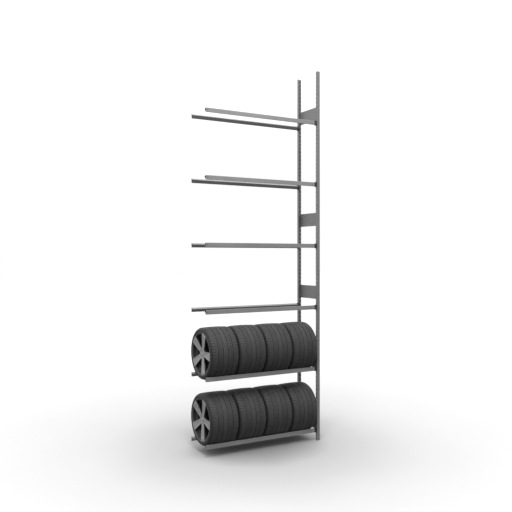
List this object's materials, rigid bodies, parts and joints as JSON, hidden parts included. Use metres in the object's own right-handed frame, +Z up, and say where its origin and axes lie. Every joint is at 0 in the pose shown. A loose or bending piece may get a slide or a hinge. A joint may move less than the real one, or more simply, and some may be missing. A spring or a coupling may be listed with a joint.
{
  "type": "tyre storage rack",
  "caption": "Add-on bay of a boltless tyre rack: a tall two-post end frame and paired triangular beams on six levels, with wheels lying in the two lowest cradles.",
  "frame": {"origin": "on the floor, under the middle of the loaded bay", "axes": "+X along the beams towards the end frame, +Y to the back of the rack, +Z up the posts"},
  "size_m": [1.524, 0.6, 4.5],
  "materials": {
    "frame_steel": "satin",
    "beam_steel": "satin",
    "bracket_steel": "satin, dark zinc",
    "zinc": "bright zinc plate",
    "foot_plastic": "matt",
    "tyre": "matt rubber",
    "barrel_black": "satin black",
    "alloy": "silver paint",
    "cap_plastic": "silver",
    "valve_rubber": "matt"
  },
  "bodies": {
    "root": {"front_post": "frame_steel", "front_foot": "foot_plastic", "rear_post": "frame_steel", "rear_foot": "foot_plastic", "tie_plate_1": "frame_steel", "tie_plate_2": "frame_steel", "tie_plate_3": "frame_steel", "tie_plate_4": "frame_steel", "tie_plate_5": "frame_steel", "tie_bolts": "zinc", "tie_nuts": "zinc", "front_beam_brackets": "bracket_steel", "rear_beam_brackets": "bracket_steel", "beam_lock_clips": "zinc", "front_beam_1": "beam_steel", "rear_beam_1": "beam_steel", "front_beam_2": "beam_steel", "rear_beam_2": "beam_steel", "front_beam_3": "beam_steel", "rear_beam_3": "beam_steel", "front_beam_4": "beam_steel", "rear_beam_4": "beam_steel", "front_beam_5": "beam_steel", "rear_beam_5": "beam_steel", "front_beam_6": "beam_steel", "rear_beam_6": "beam_steel"},
    "wheel_11": {"wheel_11_tyre": "tyre", "wheel_11_rim": "barrel_black", "wheel_11_spokes": "alloy", "wheel_11_valve": "valve_rubber"},
    "wheel_12": {"wheel_12_tyre": "tyre", "wheel_12_rim": "barrel_black", "wheel_12_spokes": "alloy", "wheel_12_valve": "valve_rubber"},
    "wheel_13": {"wheel_13_tyre": "tyre", "wheel_13_rim": "barrel_black", "wheel_13_spokes": "alloy", "wheel_13_valve": "valve_rubber"},
    "wheel_14": {"wheel_14_tyre": "tyre", "wheel_14_rim": "barrel_black", "wheel_14_spokes": "alloy", "wheel_14_valve": "valve_rubber"},
    "wheel_21": {"wheel_21_tyre": "tyre", "wheel_21_rim": "barrel_black", "wheel_21_spokes": "alloy", "wheel_21_valve": "valve_rubber"},
    "wheel_22": {"wheel_22_tyre": "tyre", "wheel_22_rim": "barrel_black", "wheel_22_spokes": "alloy", "wheel_22_valve": "valve_rubber"},
    "wheel_23": {"wheel_23_tyre": "tyre", "wheel_23_rim": "barrel_black", "wheel_23_spokes": "alloy", "wheel_23_valve": "valve_rubber"},
    "wheel_24": {"wheel_24_tyre": "tyre", "wheel_24_rim": "barrel_black", "wheel_24_spokes": "alloy", "wheel_24_valve": "valve_rubber"}
  },
  "joints": [
    {"name": "wheel_11_lift_out", "type": "hinge", "parent": "root", "child": "wheel_11", "pos_m": [-0.5615, -0.40574, -0.20979], "axis": [1, 0, 0], "range_deg": [0, 70]},
    {"name": "wheel_12_lift_out", "type": "hinge", "parent": "root", "child": "wheel_12", "pos_m": [-0.2045, -0.40574, -0.20979], "axis": [1, 0, 0], "range_deg": [0, 70]},
    {"name": "wheel_13_lift_out", "type": "hinge", "parent": "root", "child": "wheel_13", "pos_m": [0.1525, -0.40574, -0.20979], "axis": [1, 0, 0], "range_deg": [0, 70]},
    {"name": "wheel_14_lift_out", "type": "hinge", "parent": "root", "child": "wheel_14", "pos_m": [0.5095, -0.40574, -0.20979], "axis": [1, 0, 0], "range_deg": [0, 70]},
    {"name": "wheel_21_lift_out", "type": "hinge", "parent": "root", "child": "wheel_21", "pos_m": [-0.5615, -0.40574, 0.54021], "axis": [1, 0, 0], "range_deg": [0, 70]},
    {"name": "wheel_22_lift_out", "type": "hinge", "parent": "root", "child": "wheel_22", "pos_m": [-0.2045, -0.40574, 0.54021], "axis": [1, 0, 0], "range_deg": [0, 70]},
    {"name": "wheel_23_lift_out", "type": "hinge", "parent": "root", "child": "wheel_23", "pos_m": [0.1525, -0.40574, 0.54021], "axis": [1, 0, 0], "range_deg": [0, 70]},
    {"name": "wheel_24_lift_out", "type": "hinge", "parent": "root", "child": "wheel_24", "pos_m": [0.5095, -0.40574, 0.54021], "axis": [1, 0, 0], "range_deg": [0, 70]}
  ]
}
